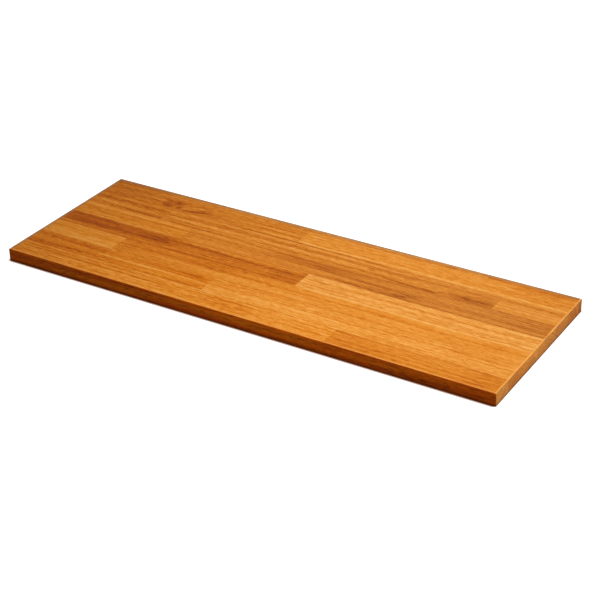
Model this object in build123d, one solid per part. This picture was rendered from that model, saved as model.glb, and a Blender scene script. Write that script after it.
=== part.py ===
from build123d import *
import os

# Butcher block countertop. Hardwood staves are glued side by side and end to end into one
# thick board, the back row is ripped down to bring the board to depth, and then every
# outer edge of the finished board is eased.
#
# Millimetres. +X runs along the staves to the right end, +Y to the back edge and +Z up.
# The origin is the centre of the underside.

# The board
BOARD_LENGTH = 1828.8
BOARD_THICKNESS = 44.45
EASED_RADIUS = 3.2

# The rows, counted from the front edge
STAVE_WIDTH = 87.0
BACK_STRIP_WIDTH = 26.0

# Lengths of the staves laid from the left end or the right end of their row. The joints
# they leave are staggered, so that none lines up with a joint in the row beside it.
ROW_1_RIGHT_STAVE = 582.0
ROW_2_LEFT_STAVE = 735.0
ROW_3_LEFT_STAVE = 308.0
ROW_4_RIGHT_STAVE = 842.0
ROW_5_LEFT_STAVE = 470.0
ROW_6_LEFT_STAVE = 322.0
ROW_6_RIGHT_STAVE = 224.0
ROW_7_LEFT_STAVE = 835.0
BACK_STRIP_LEFT_PIECE = 525.0
BACK_STRIP_RIGHT_PIECE = 319.0

# Each row from front to back: the name of its pieces, its width, the staves laid from the
# left end and the staves laid from the right end. One more stave, cut to fit, always
# fills the row between them.
ROWS = [
    ("row_1_stave", STAVE_WIDTH, [], [ROW_1_RIGHT_STAVE]),
    ("row_2_stave", STAVE_WIDTH, [ROW_2_LEFT_STAVE], []),
    ("row_3_stave", STAVE_WIDTH, [ROW_3_LEFT_STAVE], []),
    ("row_4_stave", STAVE_WIDTH, [], [ROW_4_RIGHT_STAVE]),
    ("row_5_stave", STAVE_WIDTH, [ROW_5_LEFT_STAVE], []),
    ("row_6_stave", STAVE_WIDTH, [ROW_6_LEFT_STAVE], [ROW_6_RIGHT_STAVE]),
    ("row_7_stave", STAVE_WIDTH, [ROW_7_LEFT_STAVE], []),
    ("back_strip", BACK_STRIP_WIDTH, [BACK_STRIP_LEFT_PIECE], [BACK_STRIP_RIGHT_PIECE]),
]

# Worked out from the sizes above
BOARD_WIDTH = sum(width for name, width, left_staves, right_staves in ROWS)
LEFT_END = -BOARD_LENGTH / 2
FRONT_EDGE = -BOARD_WIDTH / 2


def eased_board():
    """The finished outside of the board in one block, with all its edges eased."""
    block = Box(
        BOARD_LENGTH,
        BOARD_WIDTH,
        BOARD_THICKNESS,
        align=(Align.CENTER, Align.CENTER, Align.MIN),
    )
    return fillet(block.edges(), EASED_RADIUS)


def stave_lengths(left_staves, right_staves):
    """The lengths of a row's staves from left to right, with the one that fills the row."""
    filler = BOARD_LENGTH - sum(left_staves) - sum(right_staves)
    return left_staves + [filler] + right_staves


def stave_blank(length, width):
    """One square sawn stave as wide as its row, with its left front corner at the origin."""
    return Box(length, width, BOARD_THICKNESS, align=Align.MIN)


os.makedirs("parts", exist_ok=True)
board = eased_board()

# Each blank is set in its place in the lay-up and trimmed to the board's eased outside.
y = FRONT_EDGE
for name, width, left_staves, right_staves in ROWS:
    x = LEFT_END
    for number, length in enumerate(stave_lengths(left_staves, right_staves), start=1):
        stave = board & Pos(x, y, 0) * stave_blank(length, width)
        export_step(stave, f"parts/{name}_{number}.step")
        x += length
    y += width
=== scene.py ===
import math
import bpy
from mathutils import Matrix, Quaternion, Vector


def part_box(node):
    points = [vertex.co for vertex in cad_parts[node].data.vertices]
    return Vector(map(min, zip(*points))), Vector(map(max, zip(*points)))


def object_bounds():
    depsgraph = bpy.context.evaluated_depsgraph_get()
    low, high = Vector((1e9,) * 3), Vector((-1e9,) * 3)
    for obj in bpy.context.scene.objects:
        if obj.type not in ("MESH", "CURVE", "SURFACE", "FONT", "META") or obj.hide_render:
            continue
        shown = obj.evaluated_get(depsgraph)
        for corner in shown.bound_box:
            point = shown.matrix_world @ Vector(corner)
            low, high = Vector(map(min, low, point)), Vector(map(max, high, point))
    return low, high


# Butcher block countertop: long oiled hardwood staves glued up into one thick board.
# Metres, in the board's own frame: +X along the staves, +Y to the back edge, +Z up, with
# the centre of the underside at the origin. Places on the board are given in millimetres
# from its left end, its front edge and its underside, as a maker would measure them.

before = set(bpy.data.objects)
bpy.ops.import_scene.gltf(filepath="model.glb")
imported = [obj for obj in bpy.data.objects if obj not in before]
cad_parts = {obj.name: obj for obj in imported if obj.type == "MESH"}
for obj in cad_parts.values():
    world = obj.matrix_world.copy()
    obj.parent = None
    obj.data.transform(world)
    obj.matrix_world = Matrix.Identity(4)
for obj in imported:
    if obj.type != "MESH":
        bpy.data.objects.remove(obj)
CAD_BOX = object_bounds()
LEFT_END, FRONT_EDGE = CAD_BOX[0].x, CAD_BOX[0].y
RIGHT_END, BACK_EDGE = CAD_BOX[1].x, CAD_BOX[1].y
WORKING_FACE = CAD_BOX[1].z
MM = 0.001
BOARD_LENGTH = (RIGHT_END - LEFT_END) / MM
BOARD_DEPTH = (BACK_EDGE - FRONT_EDGE) / MM
BOARD_THICKNESS = WORKING_FACE / MM
EASED_RADIUS = 3.2


def linear(hex_colour):
    """An sRGB hex colour as the linear RGBA that the nodes take."""
    shares = [int(hex_colour[i:i + 2], 16) / 255 for i in (0, 2, 4)]
    return [s / 12.92 if s <= 0.04045 else ((s + 0.055) / 1.055) ** 2.4 for s in shares] + [1.0]


WHITE = linear("FFFFFF")

# The Mix node's sockets for colours, which it tells apart by number alone
SHARE, UNDER, OVER, MIXED = 0, 6, 7, 2


def add(tree, kind, inputs=None, **settings):
    """Adds one node with its settings. An input is a value or another node's output."""
    made = tree.nodes.new("ShaderNode" + kind)
    for name, value in settings.items():
        setattr(made, name, value)
    for socket, value in (inputs or {}).items():
        if isinstance(value, bpy.types.NodeSocket):
            tree.links.new(value, made.inputs[socket])
        else:
            made.inputs[socket].default_value = value
    return made.outputs


# The camera

CAMERA_PLACE = Vector((2.4888, -3.8664, 2.5736))
CAMERA_TARGET = Vector((0.1369, -0.1296, 0.0444))
CAMERA_ROLL = math.radians(-1.408)
CAMERA_LENS = 95.622
CAMERA_SEES_AS_FAR_AS = 50


def make_camera():
    """The photograph's camera, solved from the board's outline in it."""
    data = bpy.data.cameras.new("photograph_view")
    data.lens = CAMERA_LENS
    data.clip_end = CAMERA_SEES_AS_FAR_AS
    camera = bpy.data.objects.new("photograph_view", data)
    bpy.context.scene.collection.objects.link(camera)
    aim = (CAMERA_TARGET - CAMERA_PLACE).to_track_quat("-Z", "Y")
    camera.rotation_mode = "QUATERNION"
    camera.rotation_quaternion = aim @ Quaternion((0, 0, 1), CAMERA_ROLL)
    camera.location = CAMERA_PLACE
    bpy.context.scene.camera = camera


# The studio: two soft lamps, an even dim surround and a plain pale floor

# The lamps and the surround together light the working face at a plain level, at which a
# colour renders about as it is written.
SURROUND_STRENGTH = 0.14

# The floor is matt, pale grey in the light that it throws back at the board and white to
# the eye. Its lit surface adds the little that is missing to full white.
FLOOR_SIZE = 60
FLOOR_GREY = "B4B3B1"
FLOOR_WHITE = 0.98

# How far the painted shadow at the board's foot reaches: the floor's white is darkened where
# the board is near. It is wider in front and thin at the right end, which faces the side lamp,
# and turns from one to the other over one centimetre. It is darkest where the board shuts out
# half of the sky, and warm with painted light that the wood throws into it.
FRONT_SHADOW = 0.011
END_SHADOW = 0.003
SHADOW_TURNS_OVER = 0.010
DARKEST_AT = 0.5
FOOT_SHADOW_COLOUR = "A06030"
SHADOW_SAMPLES = 16


def make_lamp(name, place, target, width, depth, watts):
    """One rectangular soft lamp, aimed at a point of the board."""
    data = bpy.data.lights.new(name, "AREA")
    data.shape = "RECTANGLE"
    data.size = width
    data.size_y = depth
    data.energy = watts
    lamp = bpy.data.objects.new(name, data)
    bpy.context.scene.collection.objects.link(lamp)
    lamp.location = place
    lamp.rotation_mode = "QUATERNION"
    lamp.rotation_quaternion = (Vector(target) - Vector(place)).to_track_quat("-Z", "Y")


def seen_by_eye(tree):
    """1 for what is seen directly, as a reflection or through something, and 0 for light."""
    path = add(tree, "LightPath")
    seen = add(tree, "Math", {0: path["Is Camera Ray"], 1: path["Is Glossy Ray"]}, operation="ADD")[0]
    return add(tree, "Math", {0: seen, 1: path["Is Transmission Ray"]}, operation="ADD", use_clamp=True)[0]


def make_surround():
    """Even dim light from all round, which the eye sees as plain white."""
    world = bpy.data.worlds.new("surround")
    world.use_nodes = True
    bpy.context.scene.world = world
    tree = world.node_tree
    tree.nodes.clear()
    seen = seen_by_eye(tree)
    strength = add(tree, "MapRange", {"Value": seen, "To Min": SURROUND_STRENGTH, "To Max": 1.0})[0]
    glow = add(tree, "Background", {"Color": WHITE, "Strength": strength})[0]
    add(tree, "OutputWorld", {"Surface": glow})


def make_floor():
    """Matt pale paint, with no gloss. The eye sees it white, but for the painted shadow at the board's
    foot.
    """
    bpy.ops.object.select_all(action="DESELECT")
    bpy.ops.mesh.primitive_plane_add(size=FLOOR_SIZE)
    floor = bpy.context.object
    floor.name = "studio_floor"
    material = bpy.data.materials.new("pale_floor")
    material.use_nodes = True
    tree = material.node_tree
    tree.nodes.clear()
    seen = seen_by_eye(tree)

    # 0 at the darkest of the painted shadow and 1 on the open floor
    x = add(tree, "SeparateXYZ", {0: add(tree, "TexCoord")["Object"]})["X"]
    reach = add(tree, "MapRange", {"Value": x, "From Min": RIGHT_END - SHADOW_TURNS_OVER,
                                   "From Max": RIGHT_END, "To Min": FRONT_SHADOW,
                                   "To Max": END_SHADOW})[0]
    open_floor = add(tree, "AmbientOcclusion", {"Distance": reach}, samples=SHADOW_SAMPLES)["AO"]
    open_floor = add(tree, "MapRange", {"Value": open_floor, "From Min": DARKEST_AT})[0]

    # the white that only the eye sees, dimmed into the painted shadow
    strength = add(tree, "Math", {0: open_floor, 1: FLOOR_WHITE}, operation="MULTIPLY")[0]
    strength = add(tree, "Math", {0: seen, 1: strength}, operation="MULTIPLY")[0]
    colour = add(tree, "Mix", {SHARE: open_floor, UNDER: linear(FOOT_SHADOW_COLOUR), OVER: WHITE},
                 data_type="RGBA")[MIXED]
    glow = add(tree, "Emission", {"Color": colour, "Strength": strength})[0]

    # the paint: warm in the painted shadow to the eye, and plain grey in the light that it throws back
    grey = linear(FLOOR_GREY)
    shade = add(tree, "Mix", {SHARE: open_floor, UNDER: linear(FOOT_SHADOW_COLOUR), OVER: grey},
                data_type="RGBA")[MIXED]
    shade = add(tree, "Mix", {SHARE: seen, UNDER: grey, OVER: shade}, data_type="RGBA")[MIXED]
    matt = add(tree, "BsdfDiffuse", {"Color": shade})[0]
    both = add(tree, "AddShader", {0: matt, 1: glow})[0]
    add(tree, "OutputMaterial", {"Surface": both})
    floor.data.materials.append(material)


# The wood: acacia or a like hardwood, planed, sanded and oiled, so a warm satin surface
# with the pores left open. It is drawn as solid wood. Every stave has its own place in a
# trunk, and rings, bands, fibres and pores run right through it, so that they show as long
# lines on the faces and as arcs and dots on the sawn ends.

# The range of colour from the palest sapwood to the darkest heartwood, in two kinds of
# stave: most have russet heartwood, and a few have a duller brown one.
RUSSET_WOOD = ["FFBC62", "F5A343", "EB9028", "DA7711", "C25D04", "983E02"]
BROWN_WOOD = ["FFBC67", "F1A44D", "E1903A", "CD7B2C", "B66722", "8A4414"]

# The figure. Each part gives its length along the grain and its width in millimetres, how
# much of the range of colour it spans, and its detail. Bands and lines follow the growth
# rings. Flecks, fibres and pores are bundles, threads and dashes of the wood. The real
# ones are a fraction of a millimetre wide and a pixel is about three, so all of them are
# drawn as coarse as they need to show.
BROAD_BANDS = (1500, 30, 0.20, 2.0)
BANDS = (900, 11, 0.42, 2.0)
LINES = (420, 4.5, 0.74, 2.0)
FLECKS = (24, 3.2, 1.14, 2.0)
FIBRES = (70, 1.6, 0.40, 2.0)
PORES = (8, 0.55, 0.22, 1.0)

# The pores are what stands out of their noise between these two levels
PORE_LEVELS = (0.60, 0.68)

# What each part of the figure comes to on average, which is taken off a stave's tone first
MEAN_FIGURE = 0.5
MEAN_PORES = 0.06

# Over what length and width the fibres wander sideways, and how far
WANDER = (620, 210)
WANDER_REACH = 7.0

# Growth rings: how far apart they are, how far one may stand off its even place and over
# what distance that changes, how much darker late wood is, and how thin it is: the higher,
# the thinner
RING_SPACING = 6.5
RING_SHIFT = 9.0
RING_SHIFT_OVER = 14
RING_CONTRAST = 0.13
RING_THINNESS = 3.0

# Where the trunk's centre ran, in millimetres from the middle of the stave's underside:
# to the side and down. A stave cut beside the centre has straight close grain on its face,
# one cut above it has broad figure.
PITHS = [(-110, -40), (85, -70), (-75, -95), (150, -25), (-140, 10), (60, -110), (120, 30)]

# How far apart in the trunk two staves grew, in units of the noise
NEXT_STAVE = 11.7

# A streak is full as far from its middle as the first share of its width, and gone at the
# second. The lines of the grain shift its sides, its ends and its height by up to half of
# so many millimetres either way.
STREAK_SIDES = (0.15, 0.8)
RAGGED_SIDES = 12.0
RAGGED_ENDS = 300.0
RAGGED_HEIGHT = 8.0

# A knot's dark heart fades between these distances from its centre, counted in its own half
# sizes. The fibres fray it, and it narrows slowly on its way up.
KNOT_RIM = (0.95, 1.75)
KNOT_FRAY = 1.2
KNOT_NARROWING = 0.006

# How deep oil soaks into a sawn end and a long edge: full down to the first depth, none
# past the second. It gives them these even colours, by this share.
END_SOAK = (0.3, 1.5)
EDGE_SOAK = (1.6, 4.6)
END_GRAIN = "C67A1C"
LONG_GRAIN = "D07A1C"
END_EVENED = 0.55
EDGE_EVENED = 0.5

# Painted shade: a darker, redder tint on the long edges, which stand in shade, darkening
# on their foot and low on the sawn ends, and the heights between which the last two fade out
EDGE_SHADE_TINT = "FAC224"
FOOT_SHADE_TINT = "BAB0A0"
FOOT_SHADE_HEIGHTS = (3.0, 15.0)
LOW_END_SHADE_TINT = "ECE8E4"
LOW_END_SHADE_HEIGHTS = (6.0, 34.0)

# What the colour of the ends and edges is multiplied by in small spots, from full of oil to
# dry. The spots follow the flecks of the grain, and its lines by this share.
OILY_FLECK = (0.10, 0.0, 0.0, 1.0)
DRY_FLECK = (1.94, 1.97, 1.94, 1.0)
LINES_IN_SPOTS = 0.7
SPOT_LEVELS = (0.47, 1.23)

# The painted shade along the back and left rim of the working face: its colour, how strong
# it is, where it starts and stops fading inwards, and how deep below the face it is still full
RIM_SHADE_GREY = "8C8468"
RIM_SHADE_STRENGTH = 0.45
RIM_WIDTHS = (9.0, 17.0)
RIM_DEPTH = 0.5

# A painted highlight of pale bare wood on the front and right arrises, which face the lamps,
# and partly oil rubbed off there: how far in it reaches, how deep and how strong, then how
# far it fades inwards, at which share of its depth it is full, and the size and strengths of
# its patches, which show between two levels of their noise
BARE_WOOD_GLINT = "FFB65C"
FRONT_GLINT_AND_WEAR = (5.0, 0.45, 0.45)
END_GLINT_AND_WEAR = (3.0, 2.4, 0.8)
GLINT_AND_WEAR_FADE = 5.0
GLINT_AND_WEAR_FULL_AT = 0.2
GLINT_AND_WEAR_PATCH = (60, 60)
GLINT_AND_WEAR_STRENGTHS = (0.5, 1.3)
GLINT_AND_WEAR_LEVELS = (0.3, 0.7)

# The slightly darker eased edges, a painted shade on their roundings, and the glue lines with half their
# width
EASED_SHADE_TINT = "DCD0C4"
GLUE_TINT = "C8A890"
GLUE_LINE = 0.35

# The surface: satin, rougher on the fibres that stand up, with the pores sunk between them
# by this share of the relief. Open oiled grain has far less gloss than a film of varnish.
SATIN = (0.42, 0.62)
PORE_SINK = 0.6
RELIEF = 0.3 * MM
RELIEF_STRENGTH = 0.25
OIL_GLOSS = 0.04


def figure(tree, place, size, seed, detail):
    """Uneven bands or threads that run along the grain, size millimetres long and wide."""
    length, width = size
    spot = add(tree, "Mapping", {"Vector": place, "Scale": (1 / length, 1 / width, 1 / width),
                                 "Location": (seed, seed, seed)})[0]
    return add(tree, "TexNoise", {"Vector": spot, "Scale": 1.0, "Detail": detail, "Roughness": 0.6})[0]


def knot_distance(tree, spot, centre, half_length, half_width):
    """How far a point lies from a knot's centre, 1 at its rim."""
    offset = add(tree, "VectorMath", {0: spot, 1: (*centre, 0)}, operation="SUBTRACT")[0]
    scale = (1 / half_length, 1 / half_width, KNOT_NARROWING)
    shares = add(tree, "VectorMath", {0: offset, 1: scale}, operation="MULTIPLY")[0]
    return add(tree, "VectorMath", {0: shares}, operation="LENGTH")["Value"]


def lie_of_grain(tree, spot, y, seed, sweeps):
    """How far from the front edge a point's fibre runs, first wandering only, then swept round knots."""
    wander = figure(tree, spot, WANDER, seed, detail=1.0)
    wander = add(tree, "MapRange", {"Value": wander, "To Min": -WANDER_REACH, "To Max": WANDER_REACH})[0]
    wandering = add(tree, "Math", {0: y, 1: wander}, operation="ADD")[0]
    swept = wandering
    for centre, half_length, half_width, reach in sweeps:
        far = knot_distance(tree, spot, centre, half_length, half_width)
        aside = add(tree, "MapRange", {"Value": far, "To Min": reach, "To Max": 0.0},
                    interpolation_type="SMOOTHERSTEP")[0]
        swept = add(tree, "Math", {0: swept, 1: aside}, operation="ADD")[0]
    return wandering, swept


def growth_rings(tree, ring):
    """Thin darker rings of late wood, unevenly spaced. ring is the distance from the pith."""
    along = add(tree, "Math", {0: ring, 1: 1 / RING_SHIFT_OVER}, operation="MULTIPLY")[0]
    uneven = add(tree, "TexNoise", {"W": along, "Scale": 1.0, "Detail": 1.0}, noise_dimensions="1D")[0]
    shifted = add(tree, "Math", {0: uneven, 1: RING_SHIFT, 2: ring}, operation="MULTIPLY_ADD")[0]
    growth = add(tree, "Math", {0: shifted, 1: 1 / RING_SPACING}, operation="MULTIPLY")[0]
    growth = add(tree, "Math", {0: growth}, operation="FRACT")[0]
    return add(tree, "Math", {0: growth, 1: RING_THINNESS}, operation="POWER")[0]


def figured_tone(tree, x, grain, ring, seed, stave, start, end):
    """The stave's tone with all of its figure, and its lines, flecks, fibres and pores alone."""
    along_ring = add(tree, "CombineXYZ", {"X": x, "Y": ring, "Z": 0.0})[0]
    parts = [(growth_rings(tree, ring), RING_CONTRAST, 1 / (RING_THINNESS + 1))]
    looks = []
    for place, (length, width, share, detail) in (
            (along_ring, BROAD_BANDS), (along_ring, BANDS), (along_ring, LINES),
            (grain, FLECKS), (grain, FIBRES)):
        look = figure(tree, place, (length, width), seed + len(looks), detail)
        looks.append(look)
        parts.append((look, share * stave.get("contrast", 1.0), MEAN_FIGURE))

    # pores are few and small, and as strong in every stave
    length, width, share, detail = PORES
    pores = figure(tree, grain, (length, width), seed + len(looks), detail)
    pores = add(tree, "MapRange", {"Value": pores, "From Min": PORE_LEVELS[0],
                                   "From Max": PORE_LEVELS[1]})[0]
    parts.append((pores, share, MEAN_PORES))

    # the averages come off first, so that the stave keeps its tone under all of them
    first, last = stave["tone"]
    rest = sum(share * mean for part, share, mean in parts)
    tone = add(tree, "MapRange", {"Value": x, "From Min": start, "From Max": end,
                                  "To Min": first - rest, "To Max": last - rest})[0]
    for part, share, mean in parts:
        tone = add(tree, "Math", {0: part, 1: share, 2: tone}, operation="MULTIPLY_ADD")[0]
    lines, flecks, fibres = looks[2:]
    return tone, lines, flecks, fibres, pores


def streak(tree, tone, along, across, mark):
    """A streak of darker or paler wood along the grain, soft at its sides and its ends."""
    start, end, side_at_start, side_at_end, width, darker, fade = mark
    middle = add(tree, "MapRange", {"Value": along, "From Min": start, "From Max": end,
                                    "To Min": side_at_start, "To Max": side_at_end})[0]
    offset = add(tree, "Math", {0: across, 1: middle}, operation="SUBTRACT")[0]
    offset = add(tree, "Math", {0: offset}, operation="ABSOLUTE")[0]
    full, gone = STREAK_SIDES
    band = add(tree, "MapRange", {"Value": offset, "From Min": full * width, "From Max": gone * width,
                                  "To Min": darker, "To Max": 0.0}, interpolation_type="SMOOTHSTEP")[0]
    rise = add(tree, "MapRange", {"Value": along, "From Min": start, "From Max": start + fade},
               interpolation_type="SMOOTHSTEP")[0]
    fall = add(tree, "MapRange", {"Value": along, "From Min": end - fade, "From Max": end,
                                  "To Min": 1.0, "To Max": 0.0}, interpolation_type="SMOOTHSTEP")[0]
    both = add(tree, "Math", {0: rise, 1: fall}, operation="MULTIPLY")[0]
    return add(tree, "Math", {0: band, 1: both, 2: tone}, operation="MULTIPLY_ADD")[0]


def ragged(tree, place, lines, reach):
    """A place in millimetres, shifted unevenly by the lines of the grain."""
    shifted = add(tree, "Math", {0: lines, 1: reach, 2: place}, operation="MULTIPLY_ADD")[0]
    return add(tree, "Math", {0: shifted, 1: reach / 2}, operation="SUBTRACT")[0]


def marked_tone(tree, tone, spot, x, wandering, z, lines, fibres, stave):
    """The tone with the stave's own streaks and knots on it."""
    along = ragged(tree, x, lines, RAGGED_ENDS)
    across = ragged(tree, wandering, lines, RAGGED_SIDES)
    for mark in stave.get("streaks", []):
        tone = streak(tree, tone, along, across, mark)
    height = ragged(tree, z, lines, RAGGED_HEIGHT)
    for mark in stave.get("front_streaks", []):
        tone = streak(tree, tone, along, height, mark)
    for centre, half_length, half_width, darker in stave.get("knots", []):
        far = knot_distance(tree, spot, centre, half_length, half_width)
        far = add(tree, "Math", {0: fibres, 1: KNOT_FRAY, 2: far}, operation="MULTIPLY_ADD")[0]
        heart = add(tree, "MapRange", {"Value": far, "From Min": KNOT_RIM[0], "From Max": KNOT_RIM[1],
                                       "To Min": darker, "To Max": 0.0}, interpolation_type="SMOOTHSTEP")[0]
        tone = add(tree, "Math", {0: tone, 1: heart}, operation="ADD")[0]
    return tone


def range_of_colour(tree, tone, colours):
    """The wood's colour for a tone from 0, the palest, to 1, the darkest."""
    colour = add(tree, "ValToRGB", {"Fac": tone})["Color"]
    stops = colour.node.color_ramp.elements
    while len(stops) < len(colours):
        stops.new(0.5)
    for place, (stop, shade) in enumerate(zip(stops, colours)):
        stop.position = place / (len(colours) - 1)
        stop.color = linear(shade)
    return colour


def depths(tree, x, y, z):
    """How deep a point lies under the board's ends, its long edges and its two faces."""
    result = []
    for place, size in ((x, BOARD_LENGTH), (y, BOARD_DEPTH), (z, BOARD_THICKNESS)):
        offset = add(tree, "Math", {0: place, 1: size / 2}, operation="SUBTRACT")[0]
        offset = add(tree, "Math", {0: offset}, operation="ABSOLUTE")[0]
        result.append(add(tree, "Math", {0: size / 2, 1: offset}, operation="SUBTRACT")[0])
    return result


def eased_edges(tree, under_end, under_edge, under_face):
    """1 on the rounded edges of the board and 0 on its flat faces."""
    pairs = ((under_end, under_edge), (under_edge, under_face), (under_end, under_face))
    deeper = [add(tree, "Math", {0: a, 1: b}, operation="MAXIMUM")[0] for a, b in pairs]
    second = add(tree, "Math", {0: deeper[0], 1: deeper[1]}, operation="MINIMUM")[0]
    second = add(tree, "Math", {0: second, 1: deeper[2]}, operation="MINIMUM")[0]
    return add(tree, "MapRange", {"Value": second, "From Min": 0.5 * EASED_RADIUS,
                                  "From Max": EASED_RADIUS, "To Min": 1.0, "To Max": 0.0})[0]


def shaded_rim(tree, x, y, z):
    """Painted shade: a thin dull rim along the back and left of the working face, the sides away from the
    lamps.
    """
    from_back = add(tree, "Math", {0: BOARD_DEPTH, 1: y}, operation="SUBTRACT")[0]
    inward = add(tree, "Math", {0: from_back, 1: x}, operation="MINIMUM")[0]
    on_top = add(tree, "MapRange", {"Value": z, "From Min": BOARD_THICKNESS - EASED_RADIUS,
                                    "From Max": BOARD_THICKNESS - RIM_DEPTH,
                                    "To Max": RIM_SHADE_STRENGTH})[0]
    return add(tree, "MapRange", {"Value": inward, "From Min": RIM_WIDTHS[0], "From Max": RIM_WIDTHS[1],
                                  "To Min": on_top, "To Max": 0.0}, interpolation_type="SMOOTHSTEP")[0]


def glinting_worn_arris(tree, spot, x, y, z):
    """How much painted highlight of pale bare wood, partly also oil rubbed off, lies along the front and
    right arrises of the working face.
    """
    patches = figure(tree, spot, GLINT_AND_WEAR_PATCH, seed=5.0, detail=2.0)
    patches = add(tree, "MapRange", {"Value": patches, "From Min": GLINT_AND_WEAR_LEVELS[0],
                                     "From Max": GLINT_AND_WEAR_LEVELS[1], "To Min": GLINT_AND_WEAR_STRENGTHS[0],
                                     "To Max": GLINT_AND_WEAR_STRENGTHS[1]})[0]
    from_right = add(tree, "Math", {0: BOARD_LENGTH, 1: x}, operation="SUBTRACT")[0]
    glint_and_worn = []
    for inward, (reach, depth, glint_and_wear) in ((y, FRONT_GLINT_AND_WEAR), (from_right, END_GLINT_AND_WEAR)):
        strip = add(tree, "MapRange", {"Value": inward, "From Min": reach, "From Max": reach + GLINT_AND_WEAR_FADE,
                                       "To Min": glint_and_wear, "To Max": 0.0}, interpolation_type="SMOOTHSTEP")[0]
        on_top = add(tree, "MapRange", {"Value": z, "From Min": BOARD_THICKNESS - depth,
                                        "From Max": BOARD_THICKNESS - GLINT_AND_WEAR_FULL_AT * depth,
                                        "To Min": 0.0, "To Max": patches})[0]
        glint_and_worn.append(add(tree, "Math", {0: strip, 1: on_top}, operation="MULTIPLY")[0])
    return add(tree, "Math", {0: glint_and_worn[0], 1: glint_and_worn[1]}, operation="MAXIMUM")[0]


def glue_lines(tree, x, y, start, end, front, back):
    """1 on the stave's own glued sides and 0 away from them. Its outer sides have none."""
    sides = ((x, start, 0), (x, end, BOARD_LENGTH), (y, front, 0), (y, back, BOARD_DEPTH))
    total = None
    for place, side, outer in sides:
        if abs(side - outer) > 1:
            offset = add(tree, "Math", {0: place, 1: side}, operation="SUBTRACT")[0]
            offset = add(tree, "Math", {0: offset}, operation="ABSOLUTE")[0]
            line = add(tree, "Math", {0: offset, 1: GLUE_LINE}, operation="LESS_THAN")[0]
            if total is not None:
                line = add(tree, "Math", {0: total, 1: line}, operation="MAXIMUM")[0]
            total = line
    return total


def oiled_and_shaded(tree, colour, x, y, z, lines, flecks, on_end, on_edge):
    """The colour once oiled, with painted shade. Oil soaks deeper into the sawn ends and the
    long edges, evens them out, and is taken in by small uneven spots. Painted shade tints the
    long edges darker and redder, darkens them towards the floor, darkens the sawn ends low down,
    and lays a dull rim along the back and left of the working face."""
    evened_end = add(tree, "Math", {0: on_end, 1: END_EVENED}, operation="MULTIPLY")[0]
    evened_edge = add(tree, "Math", {0: on_edge, 1: EDGE_EVENED}, operation="MULTIPLY")[0]
    # painted shade: a dull grey rim along the back and left of the working face
    shade_rim = shaded_rim(tree, x, y, z)
    for share, even in ((evened_end, END_GRAIN), (evened_edge, LONG_GRAIN), (shade_rim, RIM_SHADE_GREY)):
        colour = add(tree, "Mix", {SHARE: share, UNDER: colour, OVER: linear(even)},
                     data_type="RGBA")[MIXED]

    spots = add(tree, "Math", {0: lines, 1: LINES_IN_SPOTS, 2: flecks}, operation="MULTIPLY_ADD")[0]
    spots = add(tree, "MapRange", {"Value": spots, "From Min": SPOT_LEVELS[0],
                                   "From Max": SPOT_LEVELS[1]})[0]
    spots = add(tree, "Mix", {SHARE: spots, UNDER: OILY_FLECK, OVER: DRY_FLECK}, data_type="RGBA")[MIXED]
    outside = add(tree, "Math", {0: on_end, 1: on_edge}, operation="MAXIMUM")[0]
    colour = add(tree, "Mix", {SHARE: outside, UNDER: colour, OVER: spots}, data_type="RGBA",
                 blend_type="MULTIPLY")[MIXED]

    # painted shade: the long edges tinted darker and redder, darker still at their foot, and the sawn ends
    # darker low down
    foot_shade = add(tree, "MapRange", {"Value": z, "From Min": FOOT_SHADE_HEIGHTS[0], "From Max": FOOT_SHADE_HEIGHTS[1],
                                  "To Min": on_edge, "To Max": 0.0}, interpolation_type="SMOOTHSTEP")[0]
    low_end_shade = add(tree, "MapRange", {"Value": z, "From Min": LOW_END_SHADE_HEIGHTS[0], "From Max": LOW_END_SHADE_HEIGHTS[1],
                                     "To Min": on_end, "To Max": 0.0})[0]
    for share, tint in ((on_edge, EDGE_SHADE_TINT), (foot_shade, FOOT_SHADE_TINT), (low_end_shade, LOW_END_SHADE_TINT)):
        colour = add(tree, "Mix", {SHARE: share, UNDER: colour, OVER: linear(tint)}, data_type="RGBA",
                     blend_type="MULTIPLY")[MIXED]
    return colour


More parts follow.
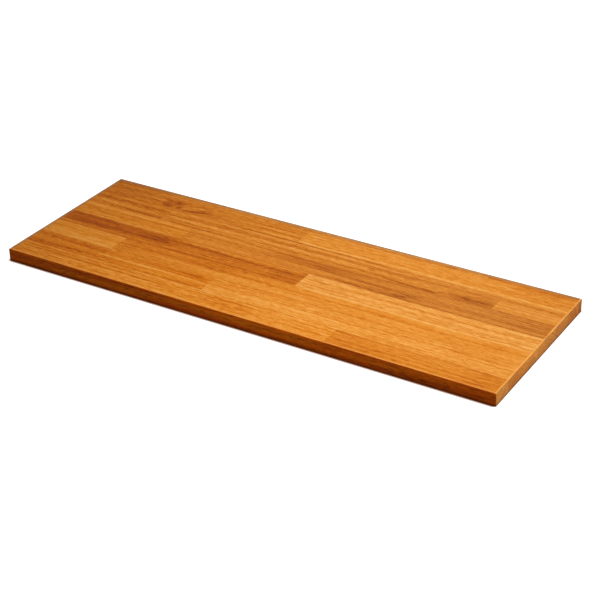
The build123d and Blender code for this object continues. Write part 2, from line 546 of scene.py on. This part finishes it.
def wood_of(name, number, stave):
    """The material of one stave: solid wood in its own place in the trunk, oiled where it lies outside."""
    low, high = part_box(name)
    start, end = (low.x - LEFT_END) / MM, (high.x - LEFT_END) / MM
    front, back = (low.y - FRONT_EDGE) / MM, (high.y - FRONT_EDGE) / MM
    seed = NEXT_STAVE * (number + 1)
    material = bpy.data.materials.new("oiled_hardwood_" + name)
    material.use_nodes = True
    tree = material.node_tree
    tree.nodes.clear()

    # millimetres from the board's left end, front edge and underside
    spot = add(tree, "Mapping", {"Vector": add(tree, "TexCoord")["Object"], "Scale": (1 / MM,) * 3,
                                 "Location": (-LEFT_END / MM, -FRONT_EDGE / MM, 0)})[0]
    x, y, z = add(tree, "SeparateXYZ", {0: spot})

    # along its own fibre, and from the trunk's centre, which the rings and the bands follow
    wandering, swept = lie_of_grain(tree, spot, y, seed, stave.get("sweeps", []))
    grain = add(tree, "CombineXYZ", {"X": x, "Y": swept, "Z": z})[0]
    pith_side, pith_down = PITHS[number % len(PITHS)]
    pith = (0, (front + back) / 2 + pith_side, pith_down)
    section = add(tree, "CombineXYZ", {"X": 0.0, "Y": swept, "Z": z})[0]
    ring = add(tree, "VectorMath", {0: section, 1: pith}, operation="DISTANCE")["Value"]

    tone, lines, flecks, fibres, pores = figured_tone(tree, x, grain, ring, seed, stave, start, end)
    tone = marked_tone(tree, tone, spot, x, wandering, z, lines, fibres, stave)

    # how much of a point belongs to a sawn end and to a long edge of the board
    under_end, under_edge, under_face = depths(tree, x, y, z)
    on_end = add(tree, "MapRange", {"Value": under_end, "From Min": END_SOAK[0], "From Max": END_SOAK[1],
                                    "To Min": 1.0, "To Max": 0.0})[0]
    on_edge = add(tree, "MapRange", {"Value": under_edge, "From Min": EDGE_SOAK[0],
                                     "From Max": EDGE_SOAK[1], "To Min": 1.0, "To Max": 0.0})[0]
    tone = add(tree, "Math", {0: on_end, 1: stave.get("end", 0.0), 2: tone}, operation="MULTIPLY_ADD")[0]

    colour = range_of_colour(tree, tone, RUSSET_WOOD)
    if "brown" in stave:
        browner = add(tree, "MapRange", {"Value": x, "From Min": start, "From Max": end,
                                         "To Min": stave["brown"][0], "To Max": stave["brown"][1]})[0]
        brown = range_of_colour(tree, tone, BROWN_WOOD)
        colour = add(tree, "Mix", {SHARE: browner, UNDER: colour, OVER: brown}, data_type="RGBA")[MIXED]

    colour = oiled_and_shaded(tree, colour, x, y, z, lines, flecks, on_end, on_edge)
    eased = eased_edges(tree, under_end, under_edge, under_face)
    glued = glue_lines(tree, x, y, start, end, front, back)
    # painted shade on the rounded edges, and the darker glue lines
    for share, tint in ((eased, EASED_SHADE_TINT), (glued, GLUE_TINT)):
        colour = add(tree, "Mix", {SHARE: share, UNDER: colour, OVER: linear(tint)}, data_type="RGBA",
                     blend_type="MULTIPLY")[MIXED]
    # painted highlight along the front and right arrises, which face the lamps, partly rubbed oil
    glinted_and_rubbed = glinting_worn_arris(tree, spot, x, y, z)
    colour = add(tree, "Mix", {SHARE: glinted_and_rubbed, UNDER: colour, OVER: linear(BARE_WOOD_GLINT)},
                 data_type="RGBA")[MIXED]

    rough = add(tree, "MapRange", {"Value": fibres, "To Min": SATIN[0], "To Max": SATIN[1]})[0]
    height = add(tree, "Math", {0: pores, 1: -PORE_SINK, 2: fibres}, operation="MULTIPLY_ADD")[0]
    normal = add(tree, "Bump", {"Height": height, "Strength": RELIEF_STRENGTH, "Distance": RELIEF})[0]
    shader = add(tree, "BsdfPrincipled", {"Base Color": colour, "Roughness": rough, "Normal": normal,
                                          "Specular IOR Level": OIL_GLOSS})[0]
    add(tree, "OutputMaterial", {"Surface": shader})
    return material


# The staves, by rows from the front edge, with the photograph's own marks. They were placed
# one by one, and their strengths and the staves' tones were corrected until the render
# measured about as the photograph does. All places and sizes are millimetres.
# tone: where the stave stands in the wood's range of colour, from 0 to 1, at its left end
#   and at its right end.
# brown: how much of the brown kind it has, at its left end and at its right end. Over 1 it
#   is all brown before it gets there.
# contrast: how strong its bands, lines, flecks and fibres are. 1 where it isn't given.
# end: how much darker its sawn end is.
# streaks: where along the board each starts and ends, how far from the front edge it lies
#   at each, its width, how much darker it is, and how long its ends take to fade.
# front_streaks: the same for the front edge, but with the height above the underside.
# knots: the centre, half length and half width, and how much darker it is.
# sweeps: the centre, half length and half width of the grain that goes round a knot, and
#   how far it is pushed aside.
STAVES = {
    "row_1_stave_1": {
        "tone": (0.50, 0.36), "brown": (0.00, 0.10), "contrast": 1.10,
        "front_streaks": [
            (100, 560, 19, 19, 12, -0.28, 90),
            (120, 640, 33, 33, 12, 0.08, 90),
            (440, 1247, 28, 27, 13, -0.34, 120),
            (700, 1247, 38, 40, 6, -0.20, 90),
            (200, 900, 36, 37, 8, 0.20, 90),
            (540, 1247, 13, 12, 11, 0.22, 90),
        ],
        "streaks": [
            (0, 260, 62, 62, 48, 0.07, 60),
            (0, 700, 16, 16, 12, -0.10, 80),
            (500, 1247, 34, 30, 14, 0.10, 60),
            (0, 460, 58, 56, 16, 0.06, 90),
            (0, 760, 84, 84, 5, -0.10, 20),
            (480, 760, 76, 76, 12, -0.12, 60),
            (620, 800, 22, 22, 9, -0.12, 50),
            (740, 1010, 83, 83, 9, 0.08, 60),
            (1090, 1247, 83, 83, 8, -0.14, 20),
            (980, 1247, 11, 11, 8, -0.12, 60),
            (760, 990, 57, 57, 50, 0.10, 90),
            (1120, 1247, 66, 66, 6, 0.14, 40),
            (1120, 1247, 32, 32, 7, 0.14, 40),
        ],
    },
    "row_1_stave_2": {
        "tone": (0.52, 0.48), "brown": (0.30, 0.40), "contrast": 0.80, "end": -0.35,
        "front_streaks": [
            (1247, 1560, 22, 26, 12, -0.30, 90),
            (1420, 1829, 34, 32, 9, -0.24, 60),
            (1247, 1829, 13, 15, 11, 0.22, 60),
            (1690, 1829, 28, 28, 40, 0.28, 60),
        ],
        "streaks": [
            (1247, 1829, 37, 36, 11, 0.14, 20),
            (1247, 1600, 85, 85, 5, -0.08, 20),
            (1290, 1600, 18, 18, 6, 0.08, 40),
            (1690, 1829, 52, 52, 76, -0.12, 60),
        ],
    },
    "row_2_stave_1": {
        "tone": (0.58, 0.46),
        "streaks": [
            (0, 340, 156, 154, 34, 0.13, 60),
            (400, 735, 154, 152, 28, 0.09, 60),
            (590, 735, 150, 150, 40, 0.09, 50),
            (0, 310, 172, 172, 6, -0.26, 20),
            (330, 700, 158, 157, 8, -0.13, 60),
            (60, 300, 135, 132, 7, -0.10, 60),
            (280, 735, 128, 129, 8, -0.28, 60),
            (420, 540, 129, 129, 7, -0.12, 40),
            (0, 330, 106, 108, 26, 0.08, 100),
            (0, 170, 122, 122, 8, 0.14, 40),
            (590, 735, 107, 107, 24, 0.14, 50),
        ],
    },
    "row_2_stave_2": {
        "tone": (0.34, 0.29), "brown": (0.10, 0.40), "end": 0.20,
        "streaks": [
            (740, 1290, 157, 157, 15, 0.10, 60),
            (800, 1300, 118, 116, 24, -0.09, 120),
            (735, 880, 92, 91, 8, -0.10, 30),
            (1020, 1280, 102, 100, 9, 0.14, 60),
            (1280, 1570, 106, 105, 10, 0.20, 40),
            (1190, 1829, 92, 92, 7, -0.14, 60),
            (1560, 1829, 100, 99, 18, 0.13, 60),
            (1400, 1829, 155, 154, 6, 0.05, 60),
            (1560, 1829, 163, 163, 26, 0.12, 60),
        ],
    },
    "row_3_stave_1": {
        "tone": (0.40, 0.34), "contrast": 0.80,
        "streaks": [
            (0, 308, 231, 231, 8, 0.10, 40),
            (0, 308, 179, 180, 11, -0.14, 20),
        ],
    },
    "row_3_stave_2": {
        "tone": (0.50, 0.35), "brown": (0.10, 0.35), "contrast": 0.90,
        "streaks": [
            (308, 760, 237, 236, 38, 0.11, 20),
            (308, 980, 257, 257, 9, 0.18, 20),
            (560, 1120, 238, 236, 36, 0.10, 100),
            (380, 700, 203, 212, 12, -0.12, 60),
            (620, 1120, 203, 202, 22, -0.13, 80),
            (320, 1580, 189, 188, 11, -0.09, 80),
            (1320, 1580, 188, 188, 14, -0.09, 60),
            (1000, 1829, 258, 258, 7, -0.30, 20),
            (780, 1300, 179, 178, 7, 0.10, 60),
            (1190, 1420, 179, 179, 7, 0.14, 60),
            (1150, 1440, 236, 236, 24, 0.05, 60),
            (1640, 1829, 232, 232, 46, 0.09, 80),
        ],
    },
    "row_4_stave_1": {
        "tone": (0.68, 0.62), "brown": (0.05, 0.35), "contrast": 0.85,
        "streaks": [
            (0, 475, 314, 314, 50, 0.16, 20),
            (0, 260, 335, 335, 11, 0.10, 30),
            (60, 410, 293, 297, 14, 0.08, 50),
            (340, 475, 310, 305, 26, 0.14, 45),
            (0, 490, 281, 281, 14, 0.08, 40),
            (0, 600, 271, 276, 20, -0.08, 40),
            (150, 480, 345, 345, 6, -0.18, 60),
            (450, 1000, 321, 320, 15, 0.14, 40),
            (470, 1000, 342, 342, 9, -0.24, 40),
            (450, 1000, 268, 266, 11, 0.14, 40),
            (850, 1010, 300, 300, 64, 0.13, 60),
        ],
    },
    "row_4_stave_2": {
        "tone": (0.22, 0.22), "brown": (0.50, 0.65), "contrast": 1.10,
        "streaks": [
            (987, 1829, 316, 316, 12, 0.12, 20),
            (1000, 1829, 334, 334, 12, -0.11, 60),
            (1240, 1560, 308, 308, 12, 0.13, 60),
            (990, 1290, 270, 270, 10, 0.12, 40),
            (987, 1829, 289, 289, 10, 0.14, 20),
            (987, 1829, 275, 275, 8, 0.06, 20),
            (987, 1829, 262, 262, 8, -0.19, 20),
            (1580, 1829, 266, 266, 8, -0.12, 60),
        ],
    },
    "row_5_stave_1": {
        "tone": (0.43, 0.39),
        "streaks": [
            (0, 470, 421, 421, 17, -0.12, 20),
            (0, 470, 402, 402, 13, 0.12, 40),
            (20, 470, 381, 381, 7, 0.10, 60),
            (0, 470, 371, 371, 8, -0.08, 40),
            (0, 470, 354, 354, 11, -0.20, 20),
        ],
    },
    "row_5_stave_2": {
        "tone": (0.53, 0.59), "brown": (0.30, 1.20), "contrast": 0.75, "end": -0.25,
        "streaks": [
            (470, 720, 425, 425, 12, -0.14, 20),
            (480, 700, 405, 405, 12, 0.12, 60),
            (470, 760, 366, 365, 30, -0.10, 60),
            (760, 1180, 417, 412, 28, 0.13, 120),
            (790, 1500, 427, 428, 7, 0.14, 80),
            (970, 1130, 416, 387, 16, 0.09, 50),
            (1110, 1330, 388, 386, 15, 0.19, 50),
            (1310, 1400, 387, 380, 14, 0.26, 40),
            (1380, 1829, 379, 379, 9, 0.20, 30),
            (1020, 1240, 368, 350, 9, 0.18, 40),
            (1080, 1390, 363, 362, 24, 0.14, 60),
            (1295, 1385, 372, 370, 22, 0.20, 30),
            (1190, 1829, 351, 351, 7, 0.14, 40),
            (730, 1030, 356, 356, 10, -0.12, 50),
            (1290, 1829, 420, 419, 10, 0.09, 40),
            (1400, 1720, 406, 406, 20, -0.08, 60),
            (1400, 1829, 364, 364, 12, -0.08, 40),
            (1740, 1829, 400, 400, 60, 0.08, 50),
        ],
    },
    "row_6_stave_1": {
        "tone": (0.60, 0.60), "brown": (0.10, 0.10),
        "streaks": [
            (40, 322, 511, 511, 13, -0.04, 40),
            (0, 322, 488, 488, 15, 0.14, 20),
            (0, 322, 469, 468, 14, -0.14, 20),
            (100, 340, 443, 442, 11, 0.22, 50),
            (220, 340, 437, 437, 7, 0.13, 40),
        ],
    },
    "row_6_stave_2": {
        "tone": (0.50, 0.48), "brown": (0.15, 0.85), "contrast": 0.90,
        "streaks": [
            (322, 700, 513, 513, 12, -0.06, 20),
            (560, 1200, 517, 516, 9, 0.20, 60),
            (600, 1340, 502, 499, 8, -0.16, 60),
            (322, 1620, 494, 492, 17, 0.08, 20),
            (1340, 1620, 485, 485, 12, -0.13, 40),
            (322, 1150, 472, 472, 17, -0.18, 40),
            (1300, 1560, 474, 476, 14, -0.06, 60),
            (340, 640, 455, 455, 9, 0.12, 60),
            (720, 1260, 453, 453, 10, 0.18, 60),
            (740, 890, 447, 447, 8, 0.14, 40),
            (322, 650, 440, 440, 8, 0.20, 20),
            (1180, 1440, 444, 443, 10, 0.32, 40),
            (1400, 1620, 456, 454, 15, 0.14, 40),
            (1440, 1640, 452, 452, 44, 0.22, 50),
        ],
    },
    "row_6_stave_3": {
        "tone": (0.41, 0.41), "brown": (0.70, 0.70), "contrast": 0.80,
        "streaks": [
            (1605, 1829, 505, 504, 13, 0.12, 20),
            (1605, 1829, 490, 491, 9, -0.16, 20),
            (1605, 1829, 463, 470, 6, -0.06, 20),
        ],
    },
    "row_7_stave_1": {
        "tone": (0.60, 0.47), "brown": (0.15, 0.25), "contrast": 0.88,
        "sweeps": [
            ((335, 540), 230, 75, 32),
        ],
        "knots": [
            ((298, 558), 56, 40, 0.12),
            ((278, 544), 32, 21, 0.24),
            ((309, 576), 19, 28, 0.18),
            ((328, 540), 15, 15, 0.30),
        ],
        "streaks": [
            (0, 120, 538, 538, 9, -0.14, 40),
            (20, 230, 578, 578, 12, 0.14, 60),
            (30, 170, 525, 548, 9, 0.22, 30),
            (140, 270, 547, 556, 8, 0.20, 40),
            (352, 480, 530, 559, 22, 0.34, 35),
            (385, 440, 534, 545, 14, 0.14, 25),
            (335, 430, 600, 575, 7, 0.10, 40),
            (500, 660, 546, 565, 7, -0.14, 60),
            (620, 850, 559, 559, 9, -0.16, 40),
            (600, 850, 576, 577, 7, 0.16, 60),
            (600, 870, 549, 548, 11, 0.16, 60),
            (650, 870, 531, 531, 11, -0.22, 60),
        ],
    },
    "row_7_stave_2": {
        "tone": (0.32, 0.46), "brown": (0.15, 0.45), "contrast": 0.90, "end": 0.25,
        "streaks": [
            (835, 1110, 596, 596, 26, 0.09, 50),
            (835, 1580, 565, 563, 18, -0.07, 50),
            (835, 1829, 527, 527, 14, -0.28, 20),
            (1560, 1829, 598, 598, 24, 0.08, 60),
        ],
    },
    "back_strip_1": {"tone": (0.75, 0.43), "brown": (0.50, 0.30)},
    "back_strip_2": {"tone": (0.44, 0.46), "brown": (0.80, 0.80)},
    "back_strip_3": {"tone": (0.64, 0.66), "brown": (0.60, 0.60), "end": 0.40},
}


def finish_staves():
    """Gives each stave of the frame its own piece of wood."""
    for number, (name, stave) in enumerate(STAVES.items()):
        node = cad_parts[name]
        node.data.materials.clear()
        node.data.materials.append(wood_of(name, number, stave))


make_camera()
make_lamp("overhead_lamp", place=(0.46, -0.17, 2.27), target=(0.48, -0.05, 0.0),
          width=1.4, depth=1.0, watts=42)
make_lamp("side_lamp", place=(3.60, 0.45, 0.60), target=(0.9, 0.0, 0.0),
          width=1.0, depth=1.0, watts=33.6)
make_surround()
make_floor()
finish_staves()
bpy.context.scene.view_settings.view_transform = "Standard"
